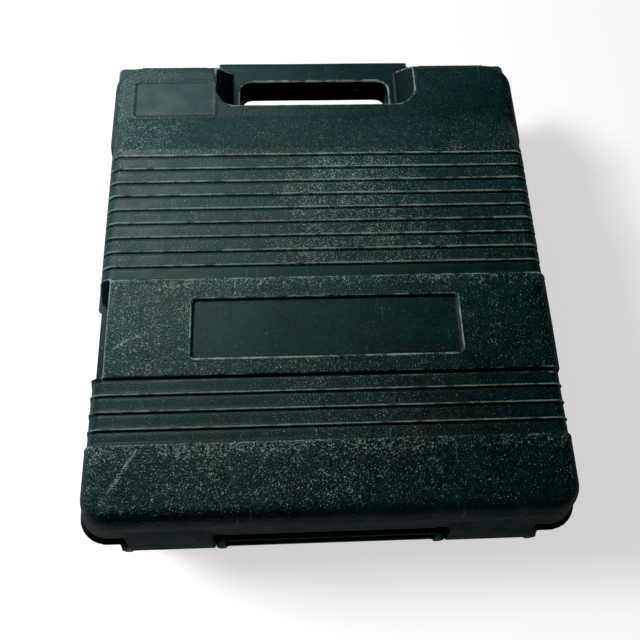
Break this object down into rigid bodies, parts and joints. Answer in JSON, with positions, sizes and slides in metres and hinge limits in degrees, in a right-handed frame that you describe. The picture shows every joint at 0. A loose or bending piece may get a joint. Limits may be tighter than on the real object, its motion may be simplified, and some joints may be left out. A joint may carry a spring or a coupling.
{
  "type": "coil roofing nailer carrying case",
  "caption": "Closed blow-moulded plastic carrying case for a coil roofing nailer, with ribbed hinged lid, moulded handle, latches and a tool-shaped nest.",
  "frame": {"origin": "centre of the bounding box at its lowest level, under the back face on which the closed case lies", "axes": "+Z out of the front face, +Y towards the carrying handle, +X across the width with the side latch at -X"},
  "size_m": [0.349, 0.415, 0.1355],
  "materials": {
    "shell_plastic": "pebble-grained, scuffed and dusty polyethylene",
    "latch_plastic": "smooth moulded nylon",
    "pin_steel": "drawn steel rod"
  },
  "bodies": {
    "base": {"back_shell": "shell_plastic", "hinge_pin_left": "pin_steel", "hinge_pin_right": "pin_steel", "side_latch_pin": "pin_steel", "top_latch_pin_left": "pin_steel", "top_latch_pin_right": "pin_steel"},
    "lid": {"front_shell": "shell_plastic"},
    "side_latch": {"side_latch": "latch_plastic"},
    "top_latch_left": {"top_latch_left": "latch_plastic"},
    "top_latch_right": {"top_latch_right": "latch_plastic"}
  },
  "joints": [
    {"name": "lid_hinge", "type": "hinge", "parent": "base", "child": "lid", "pos_m": [0, -0.2035, 0.074], "axis": [1, 0, 0], "range_deg": [0, 180]},
    {"name": "side_latch_hinge", "type": "hinge", "parent": "base", "child": "side_latch", "pos_m": [-0.1633, -0.06545, 0.058], "axis": [0, -1, 0], "range_deg": [0, 110]},
    {"name": "top_latch_left_hinge", "type": "hinge", "parent": "base", "child": "top_latch_left", "pos_m": [-0.121, 0.1892, 0.058], "axis": [-1, 0, 0], "range_deg": [0, 100]},
    {"name": "top_latch_right_hinge", "type": "hinge", "parent": "base", "child": "top_latch_right", "pos_m": [0.121, 0.1892, 0.058], "axis": [-1, 0, 0], "range_deg": [0, 100]}
  ]
}
